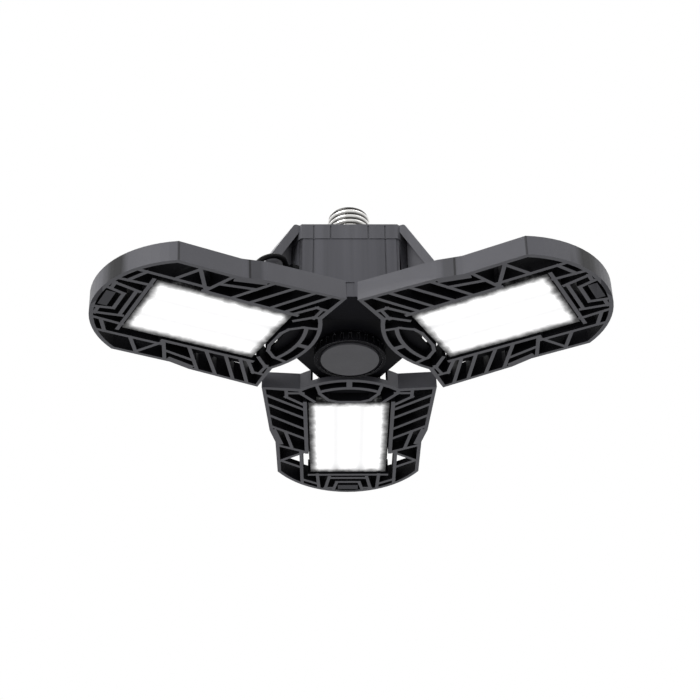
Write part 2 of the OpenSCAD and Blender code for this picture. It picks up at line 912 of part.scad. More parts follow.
module housing_glands() {
  color("black")
    lamp()
      each_sector()
        translate([hub_gland_x, hub_gland_at[0], hub_gland_at[1]])
          rotate([0, 90, 0])
            difference() {
              union() {
                cylinder(h = gland_h, r = gland_r, $fn = 32);
                translate([0, 0, -hub_wall - 2]) cylinder(h = hub_wall + 3, r = gland_stem_r, $fn = 32);
              }
              translate([0, 0, gland_h - gland_seat]) cylinder(h = 4, d = lead_d + 0.4, $fn = 32);
            }
}

module panel_gland() {
  color("black")
    translate([lead_gland_at[0], lead_gland_at[1], tray_top])
      difference() {
        cylinder(h = gland_h, r = gland_r, $fn = 32);
        translate([0, 0, gland_h - gland_seat]) cylinder(h = 4, d = lead_d + 0.4, $fn = 32);
      }
}

// Turns a panel point by the panel's tilt about the hinge
function tilted(p, tilt) = [
  hinge_x + (p[0] - hinge_x) * cos(tilt) - (p[2] - hinge_z) * sin(tilt),
  p[1],
  hinge_z + (p[0] - hinge_x) * sin(tilt) + (p[2] - hinge_z) * cos(tilt)
];

lead_hub_end = hub_gland_x + gland_h - gland_seat;
lead_panel_end = tray_top + gland_h - gland_seat;

// Route of a lead from the housing to its panel
function lead_route(tilt) = [
  [lead_hub_end, 9, 45], [45.5, 9, 45], [48.5, 10.7, 45.5], [51.5, 13.7, 46], [55.5, 15.2, 45.5],
  [59.5, 15.8, 44], [64, 16, 41], [68, 16.3, 36.5], [71, 16.5, 31], [72.5, 16.5, 25],
  tilted([72, 16.5, 19], tilt), tilted([72, 16.5, 15], tilt), tilted([72, 16.5, lead_panel_end], tilt)
];

lead_sides = 8;

// Direction of the route at each point
function heading(route, i) =
  let(
    last = len(route) - 1,
    step = route[min(i + 1, last)] - route[max(i - 1, 0)]
  )
  step / norm(step);

function ring(centre, along, r) =
  let(
    side = cross(along, [0, 1, 0]) / norm(cross(along, [0, 1, 0])),
    over = cross(along, side)
  )
  [for (k = [0:lead_sides - 1]) let(a = 360 * k / lead_sides) centre + r * (cos(a) * side + sin(a) * over)];

// A tube swept along a route
module tube(route, r) {
  points = [for (i = [0:len(route) - 1]) each ring(route[i], heading(route, i), r)];
  polyhedron(points, skin(len(route), lead_sides));
}

module lead(place) {
  color("black") lamp() rotate([0, 0, place[0]]) tube(lead_route(place[1]), lead_d / 2);
}

// ---------- the lamp ----------

screw_shell();
cap_insulator();
centre_contact();
cap_neck();
arm_crown();
crown_screws();
driver_housing();
housing_base();
base_screws();
bottom_cap();
bottom_disc();
driver_board();
transformer();
capacitors();
choke();
board_parts();
board_posts();
housing_glands();
panel_at(FAR) panel_frame();  // far_frame
panel_at(LEFT) panel_frame();  // left_frame
panel_at(RIGHT) panel_frame();  // right_frame
panel_at(FAR) inner_sheet();  // far_sheet
panel_at(LEFT) inner_sheet();  // left_sheet
panel_at(RIGHT) inner_sheet();  // right_sheet
panel_at(FAR) bracket();  // far_bracket
panel_at(LEFT) bracket();  // left_bracket
panel_at(RIGHT) bracket();  // right_bracket
panel_at(FAR) bracket_screws();  // far_bracket_screws
panel_at(LEFT) bracket_screws();  // left_bracket_screws
panel_at(RIGHT) bracket_screws();  // right_bracket_screws
panel_at(FAR) hinge_bolt();  // far_bolt
panel_at(LEFT) hinge_bolt();  // left_bolt
panel_at(RIGHT) hinge_bolt();  // right_bolt
panel_at(FAR) hinge_nut();  // far_nut
panel_at(LEFT) hinge_nut();  // left_nut
panel_at(RIGHT) hinge_nut();  // right_nut
panel_at(FAR) hinge_washers();  // far_washers
panel_at(LEFT) hinge_washers();  // left_washers
panel_at(RIGHT) hinge_washers();  // right_washers
panel_at(FAR) heat_sink();  // far_heat_sink
panel_at(LEFT) heat_sink();  // left_heat_sink
panel_at(RIGHT) heat_sink();  // right_heat_sink
panel_at(FAR) led_board();  // far_led_board
panel_at(LEFT) led_board();  // left_led_board
panel_at(RIGHT) led_board();  // right_led_board
panel_at(FAR) led_chips();  // far_led_chips
panel_at(LEFT) led_chips();  // left_led_chips
panel_at(RIGHT) led_chips();  // right_led_chips
panel_at(FAR) lens();  // far_lens
panel_at(LEFT) lens();  // left_lens
panel_at(RIGHT) lens();  // right_lens
panel_at(FAR) board_screws();  // far_board_screws
panel_at(LEFT) board_screws();  // left_board_screws
panel_at(RIGHT) board_screws();  // right_board_screws
panel_at(FAR) panel_gland();  // far_gland
panel_at(LEFT) panel_gland();  // left_gland
panel_at(RIGHT) panel_gland();  // right_gland
lead(FAR);  // far_lead
lead(LEFT);  // left_lead
lead(RIGHT);  // right_lead
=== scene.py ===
"""Looks of a three-panel folding garage light, dressed around its CAD frame.

Lengths here are in millimetres and become metres in to_row() and panel_matrix(). A panel piece is drawn
as in the CAD source: x away from the lamp axis, y across the panel, z up, light face at height 0.
"""

import math

import bmesh
import bpy
from mathutils import Matrix, Vector


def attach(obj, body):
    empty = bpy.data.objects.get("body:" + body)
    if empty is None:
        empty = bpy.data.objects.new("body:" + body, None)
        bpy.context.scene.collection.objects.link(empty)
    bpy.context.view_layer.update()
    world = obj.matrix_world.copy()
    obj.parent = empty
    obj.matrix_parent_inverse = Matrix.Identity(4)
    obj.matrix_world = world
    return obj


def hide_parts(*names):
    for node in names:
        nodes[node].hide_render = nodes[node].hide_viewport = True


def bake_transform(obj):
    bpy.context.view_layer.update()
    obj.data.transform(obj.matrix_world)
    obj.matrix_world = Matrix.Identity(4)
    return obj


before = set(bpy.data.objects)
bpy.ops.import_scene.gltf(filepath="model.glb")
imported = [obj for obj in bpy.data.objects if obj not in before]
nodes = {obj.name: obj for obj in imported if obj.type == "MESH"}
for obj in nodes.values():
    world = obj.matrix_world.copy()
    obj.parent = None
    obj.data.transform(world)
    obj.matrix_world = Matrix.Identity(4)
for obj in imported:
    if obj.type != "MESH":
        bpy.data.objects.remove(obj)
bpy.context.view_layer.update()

# ---------- sizes shared with the CAD ----------

MM = 0.001
TIP_Z = 108.0
HINGE = (58.0, 28.0)
PANELS = {"far": (90, -6.5), "left": (210, -3.5), "right": (330, -1.0)}
HUB = "hub"

THREAD_D = 26.2
THREAD_DEPTH = 1.0
THREAD_PITCH = 3.63
SHELL_Z = 81.5
SHELL_H = 24.0
SHELL_T = 0.6

BOARD_Z = 4.0
LIGHT_X = 91.0
BOARD_L = 78.0
BOARD_W = 50.0
CHIP_ROWS = 9
CHIP_COLUMNS = 6
CHIP_SIZE = 4.6
CHIP_T = 0.8
COLUMN_PITCH = 16.5

LEAD_D = 3.0
GLAND_R = 3.2
GLAND_H = 4.0
GLAND_SEAT = 2.0
HUB_GLAND = (40.5, 9.0, 45.0)
PANEL_GLAND = (72.0, 16.5, 8.1)


# ---------- placing ----------


def to_row(azimuth):
    """Matrix from hub millimetres, turned to an azimuth, to the row frame in metres."""
    turn = Matrix.Rotation(math.radians(azimuth), 4, "Z")
    return Matrix.Scale(MM, 4) @ Matrix.Translation((0, 0, -TIP_Z)) @ turn


def panel_matrix(side):
    """Matrix from a panel's own millimetres to the row frame in metres."""
    azimuth, tilt = PANELS[side]
    out = Matrix.Translation((HINGE[0], 0, HINGE[1]))
    lean = Matrix.Rotation(math.radians(-tilt), 4, "Y")
    return to_row(azimuth) @ out @ lean @ out.inverted()


# ---------- camera ----------

LENS = 56.965
CAMERA_AT = (-8.46, -540.72, -334.91 - TIP_Z)
CAMERA_TURN = (122.4485, 0.4671, -0.6114)


def add_camera():
    data = bpy.data.cameras.new("camera")
    data.lens = LENS
    data.sensor_width = 36.0
    data.clip_start = 0.01
    camera = bpy.data.objects.new("camera", data)
    camera.location = Vector(CAMERA_AT) * MM
    camera.rotation_euler = [math.radians(a) for a in CAMERA_TURN]
    bpy.context.scene.collection.objects.link(camera)
    bpy.context.scene.camera = camera


add_camera()

# ---------- meshes ----------


def new_object(name, mesh):
    piece = bpy.data.objects.new(name, mesh)
    bpy.context.scene.collection.objects.link(piece)
    return piece


def finish_mesh(name, bm, matrix, smooth=35):
    """Makes a piece of a bmesh drawn in millimetres, with edges sharper than `smooth` degrees kept crisp."""
    bmesh.ops.recalc_face_normals(bm, faces=bm.faces)
    for face in bm.faces:
        face.smooth = True
    for edge in bm.edges:
        edge.smooth = len(edge.link_faces) != 2 or edge.calc_face_angle(0) < math.radians(smooth)
    bmesh.ops.transform(bm, matrix=matrix, verts=bm.verts)
    mesh = bpy.data.meshes.new(name)
    bm.to_mesh(mesh)
    bm.free()
    return new_object(name, mesh)


def lathe(bm, profile, segments, matrix):
    """Turns a closed profile of (radius, height) points about z."""
    rings = []
    for k in range(segments):
        a = 2 * math.pi * k / segments
        ring = []
        for r, z in profile:
            ring.append(bm.verts.new(matrix @ Vector((r * math.cos(a), r * math.sin(a), z))))
        rings.append(ring)
    count = len(profile)
    for k in range(segments):
        one, two = rings[k], rings[(k + 1) % segments]
        for i in range(count):
            j = (i + 1) % count
            bm.faces.new((one[i], two[i], two[j], one[j]))


def rounded(points, radius, steps):
    """A closed profile with each corner rounded."""
    out = []
    count = len(points)
    for i, p in enumerate(points):
        p = Vector(p)
        before = Vector(points[i - 1]) - p
        after = Vector(points[(i + 1) % count]) - p
        cut = min(radius, before.length * 0.45, after.length * 0.45)
        a = p + before.normalized() * cut
        b = p + after.normalized() * cut
        for k in range(steps + 1):
            t = k / steps
            out.append(tuple((1 - t) ** 2 * a + 2 * t * (1 - t) * p + t * t * b))
    return out


def rounded_box(bm, low, high, bevel):
    """A box between two corners with rounded edges."""
    made = bmesh.ops.create_cube(bm, size=1)["verts"]
    low, high = Vector(low), Vector(high)
    size, middle = high - low, (low + high) / 2
    for v in made:
        v.co = Vector((v.co.x * size.x, v.co.y * size.y, v.co.z * size.z)) + middle
    edges = list({e for v in made for e in v.link_edges})
    bmesh.ops.bevel(bm, geom=edges, offset=bevel, segments=2, affect="EDGES", profile=0.5)


def smooth_route(points, steps):
    """Points along a Catmull-Rom curve through a given route."""
    pts = [Vector(p) for p in points]
    pts = [2 * pts[0] - pts[1]] + pts + [2 * pts[-1] - pts[-2]]
    out = []
    for i in range(1, len(pts) - 2):
        p0, p1, p2, p3 = pts[i - 1:i + 3]
        for k in range(steps):
            t = k / steps
            out.append(0.5 * (2 * p1 + (p2 - p0) * t + (2 * p0 - 5 * p1 + 4 * p2 - p3) * t * t
                              + (3 * p1 - p0 - 3 * p2 + p3) * t ** 3))
    out.append(pts[-2])
    return out


TUBE_SIDES = 16


def tube(bm, path, radius):
    """A round tube along a path, with closed ends."""
    rings = []
    normal = None
    for i, p in enumerate(path):
        ahead = (path[min(i + 1, len(path) - 1)] - path[max(i - 1, 0)]).normalized()
        if normal is None:
            normal = ahead.orthogonal().normalized()
        normal = (normal - ahead * normal.dot(ahead)).normalized()
        side = ahead.cross(normal)
        ring = []
        for k in range(TUBE_SIDES):
            a = 2 * math.pi * k / TUBE_SIDES
            ring.append(bm.verts.new(p + radius * (math.cos(a) * normal + math.sin(a) * side)))
        rings.append(ring)
    for one, two in zip(rings, rings[1:]):
        for k in range(TUBE_SIDES):
            j = (k + 1) % TUBE_SIDES
            bm.faces.new((one[k], one[j], two[j], two[k]))
    bm.faces.new(rings[0][::-1])
    bm.faces.new(rings[-1])


# ---------- leads ----------

LEAD_SMOOTH_STEPS = 6


def tilted(point, tilt):
    """A panel point turned by the panel's tilt about the hinge."""
    a = math.radians(tilt)
    dx, dz = point[0] - HINGE[0], point[2] - HINGE[1]
    return (HINGE[0] + dx * math.cos(a) - dz * math.sin(a), point[1],
            HINGE[1] + dx * math.sin(a) + dz * math.cos(a))


def lead_route(tilt):
    """The route in the CAD source, from the housing's gland to the panel's."""
    x, y, z = HUB_GLAND
    panel_x, panel_y, panel_z = PANEL_GLAND
    start = (x + GLAND_H - GLAND_SEAT, y, z)
    finish = (panel_x, panel_y, panel_z + GLAND_H - GLAND_SEAT)
    return [
        start, (45.5, y, z), (48.5, 10.7, 45.5), (51.5, 13.7, 46), (55.5, 15.2, 45.5),
        (59.5, 15.8, 44), (64, 16, 41), (68, 16.3, 36.5), (71, 16.5, 31), (72.5, 16.5, 25),
        tilted((panel_x, panel_y, 19), tilt), tilted((panel_x, panel_y, 15), tilt), tilted(finish, tilt),
    ]


def add_lead(side):
    azimuth, tilt = PANELS[side]
    matrix = to_row(azimuth)
    path = smooth_route(lead_route(tilt), LEAD_SMOOTH_STEPS)
    bm = bmesh.new()
    tube(bm, path, LEAD_D / 2)
    piece = finish_mesh(f"{side}_lead_sheath", bm, matrix, 60)
    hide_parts(f"{side}_lead")
    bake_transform(piece)
    return piece


leads = {side: add_lead(side) for side in PANELS}

# ---------- materials ----------


def material(name):
    """A new material with its node tree, shader and coordinates in metres."""
    made = bpy.data.materials.new(name)
    made.use_nodes = True
    tree = made.node_tree
    shader = tree.nodes["Principled BSDF"]
    coords = tree.nodes.new("ShaderNodeTexCoord")
    return made, tree, shader, coords.outputs["Object"]


def noise(tree, coords, scale, detail=2.0, rough=0.5):
    node = tree.nodes.new("ShaderNodeTexNoise")
    node.inputs["Scale"].default_value = scale
    node.inputs["Detail"].default_value = detail
    node.inputs["Roughness"].default_value = rough
    tree.links.new(coords, node.inputs["Vector"])
    return node.outputs["Fac"]


def remap(tree, value, low, high, to_low, to_high):
    node = tree.nodes.new("ShaderNodeMapRange")
    for key, number in (("From Min", low), ("From Max", high), ("To Min", to_low), ("To Max", to_high)):
        node.inputs[key].default_value = number
    tree.links.new(value, node.inputs["Value"])
    return node.outputs["Result"]


def mix_colour(tree, factor, one, two):
    node = tree.nodes.new("ShaderNodeMix")
    node.data_type = "RGBA"
    node.inputs["A"].default_value = (*one, 1)
    node.inputs["B"].default_value = (*two, 1)
    tree.links.new(factor, node.inputs["Factor"])
    return node.outputs["Result"]


def bump(tree, shader, height, distance, strength=1.0):
    node = tree.nodes.new("ShaderNodeBump")
    node.inputs["Strength"].default_value = strength
    node.inputs["Distance"].default_value = distance
    tree.links.new(height, node.inputs["Height"])
    tree.links.new(node.outputs["Normal"], shader.inputs["Normal"])


def stretched(tree, coords, scale):
    """Coordinates scaled by axis, which draws a pattern out along an axis with a small scale."""
    node = tree.nodes.new("ShaderNodeMapping")
    node.inputs["Scale"].default_value = scale
    tree.links.new(coords, node.inputs["Vector"])
    return node.outputs["Vector"]


STREAK = (2, 2, 0.06)  # scale by axis of an upright surface's tone, drawn out in streaks as a painted reflection


def coated(name, colour, spread, rough, grain, grain_depth, specular=0.5, metallic=0.0, upright=False):
    """A coated or moulded surface: tone drifts slowly, and a fine grain breaks up the sheen.

    An upright one drifts in streaks along z: random tone laid out as painted reflection streaks.
    """
    made, tree, shader, coords = material(name)
    dark = tuple(c * (1 - spread) for c in colour)
    pale = tuple(min(1, c * (1 + spread)) for c in colour)
    # Streaks along z: painted reflection over random tone.
    if upright:
        tone = noise(tree, stretched(tree, coords, STREAK), 90, 3)
    else:
        tone = noise(tree, coords, 55, 4)
    colours = mix_colour(tree, remap(tree, tone, 0.3, 0.7, 0, 1), dark, pale)
    tree.links.new(colours, shader.inputs["Base Color"])
    fine = noise(tree, coords, grain, 3, 0.6)
    tree.links.new(remap(tree, fine, 0.3, 0.7, rough - 0.05, rough + 0.07), shader.inputs["Roughness"])
    shader.inputs["Specular IOR Level"].default_value = specular
    shader.inputs["Metallic"].default_value = metallic
    bump(tree, shader, fine, grain_depth)
    return made


def plated(name, colour, rough):
    """Bright or zinc plate with faint drawing marks and smears."""
    made, tree, shader, coords = material(name)
    smear = noise(tree, coords, 220, 4, 0.6)
    tree.links.new(remap(tree, smear, 0.3, 0.7, rough * 0.7, rough * 1.5), shader.inputs["Roughness"])
    pale = tuple(min(1, c * 1.05) for c in colour)
    dark = tuple(c * 0.88 for c in colour)
    tree.links.new(mix_colour(tree, smear, dark, pale), shader.inputs["Base Color"])
    shader.inputs["Metallic"].default_value = 1.0
    bump(tree, shader, noise(tree, coords, 1500, 2), 0.000004)
    return made


def thread_with_painted_root_shade():
    """Bright plate on the crests of the thread, with painted shade darkening it towards its roots."""
    made, tree, shader, coords = material("thread_with_painted_root_shade")
    apart = tree.nodes.new("ShaderNodeSeparateXYZ")
    tree.links.new(coords, apart.inputs["Vector"])
    flat = tree.nodes.new("ShaderNodeCombineXYZ")
    tree.links.new(apart.outputs["X"], flat.inputs["X"])
    tree.links.new(apart.outputs["Y"], flat.inputs["Y"])
    length = tree.nodes.new("ShaderNodeVectorMath")
    length.operation = "LENGTH"
    tree.links.new(flat.outputs["Vector"], length.inputs[0])
    root = (THREAD_D / 2 - THREAD_DEPTH) * MM
    crest = THREAD_D / 2 * MM
    full_root_shade_r, no_root_shade_r = root + 0.1 * (crest - root), root + 0.65 * (crest - root)
    depth = remap(tree, length.outputs["Value"], full_root_shade_r, no_root_shade_r, 0, 1)
    # Painted shade: the plate's colour falls to near black in the thread's roots.
    colours = mix_colour(tree, depth, (0.05, 0.048, 0.046), (0.86, 0.85, 0.83))
    tree.links.new(colours, shader.inputs["Base Color"])
    smear = noise(tree, coords, 300, 4, 0.6)
    tree.links.new(remap(tree, smear, 0.3, 0.7, 0.1, 0.24), shader.inputs["Roughness"])
    shader.inputs["Metallic"].default_value = 1.0
    bump(tree, shader, noise(tree, coords, 1500, 2), 0.000004)
    return made


def math_node(tree, operation, one, two=None):
    node = tree.nodes.new("ShaderNodeMath")
    node.operation = operation
    for socket, value in zip(node.inputs, (one, two)):
        if isinstance(value, (int, float)):
            socket.default_value = value
        elif value is not None:
            tree.links.new(value, socket)
    return node.outputs["Value"]


def panel_coords(tree, coords, side):
    """The panel's own x and y in millimetres."""
    back = panel_matrix(side).inverted()
    place, turn, size = back.decompose()
    node = tree.nodes.new("ShaderNodeMapping")
    node.inputs["Location"].default_value = place
    node.inputs["Rotation"].default_value = turn.to_euler()
    node.inputs["Scale"].default_value = size
    tree.links.new(coords, node.inputs["Vector"])
    apart = tree.nodes.new("ShaderNodeSeparateXYZ")
    tree.links.new(node.outputs["Vector"], apart.inputs["Vector"])
    return apart.outputs["X"], apart.outputs["Y"]


def lit_part(tree, coords, side):
    """1 where the board below is lit, fading unevenly to 0 towards its edges, and the panel's y."""
    x, y = panel_coords(tree, coords, side)
    ragged = remap(tree, noise(tree, coords, 220, 2), 0.3, 0.7, -0.8, 0.8)
    from_middle = math_node(tree, "ABSOLUTE", math_node(tree, "SUBTRACT", x, LIGHT_X))
    along = math_node(tree, "ADD", from_middle, ragged)
    across = math_node(tree, "ADD", math_node(tree, "ABSOLUTE", y), ragged)
    inside_x = remap(tree, along, BOARD_L / 2 - 4.5, BOARD_L / 2, 1, 0)
    inside_y = remap(tree, across, BOARD_W / 2 - 5, BOARD_W / 2, 1, 0)
    return math_node(tree, "POWER", math_node(tree, "MULTIPLY", inside_x, inside_y), 1.6), y


def lit_surface(name, side, colour, strength):
    """A lit surface of the light unit, whose glow varies a little over it and ends at the lit part's edge."""
    made, tree, shader, coords = material(f"{side}_{name}")
    lit, _ = lit_part(tree, coords, side)
    tone = remap(tree, noise(tree, coords, 400, 2), 0.3, 0.7, 0.96, 1.0)
    glow = math_node(tree, "MULTIPLY", lit, tone)
    # Where the glow fades the base colour darkens to grey: painted shade.
    tree.links.new(mix_colour(tree, glow, (0.1, 0.1, 0.1), colour), shader.inputs["Base Color"])
    tree.links.new(mix_colour(tree, glow, (0, 0, 0), colour), shader.inputs["Emission Color"])
    shader.inputs["Emission Strength"].default_value = strength
    shader.inputs["Roughness"].default_value = 0.4
    return made


def clear_cover(side):
    """Clear cover with its rim painted dark where unlit, a painted shade, veiled by the light below it, with
    fainter strips between its columns.
    """
    made, tree, shader, coords = material(f"{side}_clear_cover")
    lit, y = lit_part(tree, coords, side)
    wave = math_node(tree, "COSINE", math_node(tree, "MULTIPLY", y, 2 * math.pi / COLUMN_PITCH))
    strips = remap(tree, wave, -1.0, -0.2, 0.72, 1.0)
    glow = math_node(tree, "MULTIPLY", lit, strips)
    tree.links.new(remap(tree, lit, 0, 1, 0.93, 0.75), shader.inputs["Alpha"])
    # Painted shade at the unlit rim, fading to the clear tint where lit.
    unlit_rim_shade_to_clear = mix_colour(tree, lit, (0.012, 0.012, 0.014), (0.22, 0.22, 0.23))
    tree.links.new(unlit_rim_shade_to_clear, shader.inputs["Base Color"])
    shader.inputs["Roughness"].default_value = 0.12
    tree.links.new(mix_colour(tree, glow, (0, 0, 0), (1.0, 1.0, 1.0)), shader.inputs["Emission Color"])
    shader.inputs["Emission Strength"].default_value = 0.98
    bump(tree, shader, noise(tree, coords, 350, 2), 0.00002, 0.6)
    return made


def band(tree, value, low, high, soft):
    """1 where a value lies between two others, with soft sides."""
    rise = remap(tree, value, low - soft, low, 0, 1)
    fall = remap(tree, value, high, high + soft, 1, 0)
    return math_node(tree, "MULTIPLY", rise, fall)


# Painted shade on a frame's outer wall: from and to along the panel, softness of the sides, and how dark
PAINTED_WALL_SHADE = (
    (88.6, 89.2, 0.5, 0.8),  # painted dark crease line past the step
    (83.5, 88.6, 2.0, 0.35),  # painted shade beside it
    (127.2, 127.9, 0.4, 0.7),  # painted dark crease line where the round tip starts
    (148.6, 151.2, 2.2, 0.9),  # painted shade near the end
)


def paint_wall_shade(side):
    """The frame's outer wall: coated, with the painted crease lines and painted shade listed in the table
    above.
    """
    made, tree, shader, coords = material(f"{side}_outer_wall_shade_paint")
    x, _ = panel_coords(tree, coords, side)
    tone = remap(tree, noise(tree, coords, 55, 4), 0.3, 0.7, 0.9, 1.0)
    # Each band darkens the wall's tone: painted shade.
    for low, high, soft, depth in PAINTED_WALL_SHADE:
        painted_shade_mark = band(tree, x, low, high, soft)
        tone = math_node(tree, "MULTIPLY", tone, remap(tree, painted_shade_mark, 0, 1, 1, 1 - depth))
    pale = tuple(c * 1.05 for c in CHARCOAL)
    tree.links.new(mix_colour(tree, tone, (0, 0, 0), pale), shader.inputs["Base Color"])
    fine = noise(tree, coords, 1400, 3, 0.6)
    tree.links.new(remap(tree, fine, 0.3, 0.7, 0.37, 0.49), shader.inputs["Roughness"])
    shader.inputs["Specular IOR Level"].default_value = 0.3
    bump(tree, shader, fine, 0.00003)
    return made


def circuit(name):
    """Green solder mask with tracks just under it."""
    made, tree, shader, coords = material(name)
    node = tree.nodes.new("ShaderNodeTexBrick")
    node.inputs["Scale"].default_value = 420
    node.inputs["Mortar Size"].default_value = 0.06
    colours = {"Color1": (0.02, 0.17, 0.07), "Color2": (0.02, 0.13, 0.05), "Mortar": (0.05, 0.28, 0.12)}
    for key, colour in colours.items():
        node.inputs[key].default_value = (*colour, 1)
    tree.links.new(coords, node.inputs["Vector"])
    tree.links.new(node.outputs["Color"], shader.inputs["Base Color"])
    shader.inputs["Roughness"].default_value = 0.3
    bump(tree, shader, noise(tree, coords, 900, 2), 0.00001)
    return made


CHARCOAL = (0.105, 0.105, 0.118)
MATERIALS = {
    "alloy": coated("charcoal_coat", CHARCOAL, 0.06, 0.42, 1400, 0.00003, 0.3),
    "crown": coated("crown_coat", (0.1, 0.1, 0.112), 0.14, 0.42, 1400, 0.00003, 0.3, upright=True),
    "shell": coated("charcoal_plastic", (0.088, 0.088, 0.1), 0.16, 0.46, 1100, 0.00003, 0.28, upright=True),
    # Lighter coat for rounded edges: painted edge highlight.
    "painted_edge_highlight": coated("painted_edge_highlight", (0.27, 0.27, 0.29), 0.25, 0.4, 1400, 0.00002, 0.3),
    # Darker coat for the end pad: painted shade.
    "pad": coated("painted_pad_shade_coat", (0.045, 0.045, 0.053), 0.12, 0.45, 1400, 0.00003, 0.2),
    # Near black for the lattice's hollows: painted shade.
    "painted_cell_shade": coated("painted_shade_black", (0.005, 0.005, 0.0065), 0.25, 0.62, 1200, 0.00003, 0.06),
    "black": coated("black_plastic", (0.0045, 0.0045, 0.006), 0.3, 0.5, 1100, 0.00003, 0.05),
    "grey": coated("grey_plastic", (0.09, 0.09, 0.099), 0.08, 0.45, 900, 0.00004, 0.3),
    "rubber": coated("black_rubber", (0.005, 0.005, 0.006), 0.25, 0.55, 1300, 0.00003, 0.08),
    "dark_steel": coated("dark_steel", (0.06, 0.06, 0.068), 0.12, 0.38, 1200, 0.00002, 0.5, 0.6),
    "steel": plated("zinc_plate", (0.62, 0.62, 0.63), 0.3),
    "nickel": plated("nickel_plate", (0.78, 0.76, 0.73), 0.14),
    "thread": thread_with_painted_root_shade(),
    "insulator": coated("insulator", (0.02, 0.02, 0.022), 0.2, 0.22, 500, 0.00001, 0.6),
    **{f"{side}_board": lit_surface("board", side, (1.0, 1.0, 1.0), 0.75) for side in PANELS},
    **{f"{side}_chip": lit_surface("chip", side, (1.0, 0.99, 0.97), 0.9) for side in PANELS},
    **{f"{side}_cover": clear_cover(side) for side in PANELS},
    **{f"{side}_wall": paint_wall_shade(side) for side in PANELS},
    "circuit": circuit("circuit_board"),
    "winding": coated("enamelled_winding", (0.45, 0.2, 0.06), 0.25, 0.3, 2500, 0.00006, 0.6, 0.5),
    "sleeve": coated("capacitor_sleeve", (0.02, 0.025, 0.04), 0.2, 0.28, 700, 0.00002, 0.6),
}

# Finishes that each panel has its own of, drawn from that panel's coordinates
PANEL_FINISHES = ("board", "chip", "cover", "wall")

# Which finish each CAD node or family of nodes takes
FINISHES = {
    "cap_neck": "shell", "arm_crown": "crown", "crown_screws": "steel", "driver_housing": "shell",
    "housing_base": "black", "base_screws": "steel", "bottom_cap": "black", "bottom_disc": "grey",
    "driver_board": "circuit", "transformer": "winding", "capacitors": "sleeve", "choke": "winding",
    "board_parts": "black", "board_posts": "steel", "housing_glands": "rubber", "cap_insulator": "insulator",
    "centre_contact": "nickel", "screw_shell": "nickel",
    # Each panel's sheet takes black: a dark sheet standing in for shade.
    "frame": "alloy", "sheet": "black", "bracket": "dark_steel", "bracket_screws": "steel",
    "bolt": "steel", "nut": "steel", "washers": "steel", "heat_sink": "alloy",
    "led_board": "board", "led_chips": "chip", "lens": "cover",
    # The board screws take the board's glowing finish: painted light.
    "board_screws": "board", "gland": "rubber", "lead": "rubber",
}


def family(node):
    """A node's name without its panel's."""
    side, _, rest = node.partition("_")
    return rest if side in PANELS else node


def paint(piece, finish):
    piece.data.materials.clear()
    piece.data.materials.append(MATERIALS[finish])


# ---------- edges of the CAD pieces ----------

# Edge rounding in millimetres of each family that isn't left sharp
EDGES = {
    "frame": 0.35, "arm_crown": 0.9, "driver_housing": 0.5, "housing_base": 0.4, "bottom_cap": 0.5,
    "bottom_disc": 0.4, "cap_neck": 0.5, "bracket": 0.4, "heat_sink": 0.25, "bolt": 0.4, "nut": 0.35,
    "washers": 0.15, "lens": 0.4, "led_board": 0.2, "crown_screws": 0.3, "base_screws": 0.3,
    "bracket_screws": 0.3, "board_screws": 0.25,
}
EDGE_ANGLE = 32

# Nodes whose rounded edges are painted lighter: a painted highlight
EDGE_HIGHLIGHT_NODES = ("bottom_cap", "driver_housing")


def round_edges(piece, width):
    weld = piece.modifiers.new("weld", "WELD")
    weld.merge_threshold = 0.00001
    bevel = piece.modifiers.new("edges", "BEVEL")
    bevel.width = width * MM
    bevel.segments = 2
    bevel.limit_method = "ANGLE"
    bevel.angle_limit = math.radians(EDGE_ANGLE)
    bevel.use_clamp_overlap = True
    bevel.harden_normals = True


for name, piece in nodes.items():
    kind = family(name)
    finish = FINISHES[kind]
    paint(piece, f"{name.partition('_')[0]}_{finish}" if finish in PANEL_FINISHES else finish)
    if kind in EDGES:
        round_edges(piece, EDGES[kind])
    # Bevel faces of these nodes take the lighter coat: painted highlight.
    if kind in EDGE_HIGHLIGHT_NODES:
        piece.data.materials.append(MATERIALS["painted_edge_highlight"])
        piece.modifiers["edges"].material = 1

# ---------- frames ----------

CORNER = (34.7, 52.6)
STEP = (80.0, 49.9)
TAIL = (93.0, 46.8)
INNER_X, INNER_R, NOTCH_Y = 27.5, 52.5, 29.5
TIP_X, TIP_R = 153.8, 55.0
END_PAD = (145.0, 6.8)  # where the pad at the outer end starts, and its half width; the pad takes a darker painted shade


def frame_outline():
    """The panel's outline in its own millimetres, as in the CAD source."""
    half = []
    for i in range(7):
        y = NOTCH_Y * i / 6
        half.append((INNER_X + INNER_R - math.sqrt(INNER_R ** 2 - y * y), y))
    half += [CORNER, STEP, TAIL]
    full_turn = math.asin(TAIL[1] / TIP_R)
    for i in range(13):
        a = full_turn * (1 - i / 12)
        half.append((TIP_X - TIP_R + TIP_R * math.cos(a), TIP_R * math.sin(a)))
    return half + [(x, -y) for x, y in half[-2:0:-1]]


def outline_distance(outline, x, y):
    best = 1e9
    for (ax, ay), (bx, by) in zip(outline, outline[1:] + outline[:1]):
        dx, dy = bx - ax, by - ay
        t = max(0, min(1, ((x - ax) * dx + (y - ay) * dy) / (dx * dx + dy * dy)))
        best = min(best, math.hypot(x - ax - t * dx, y - ay - t * dy))
    return best


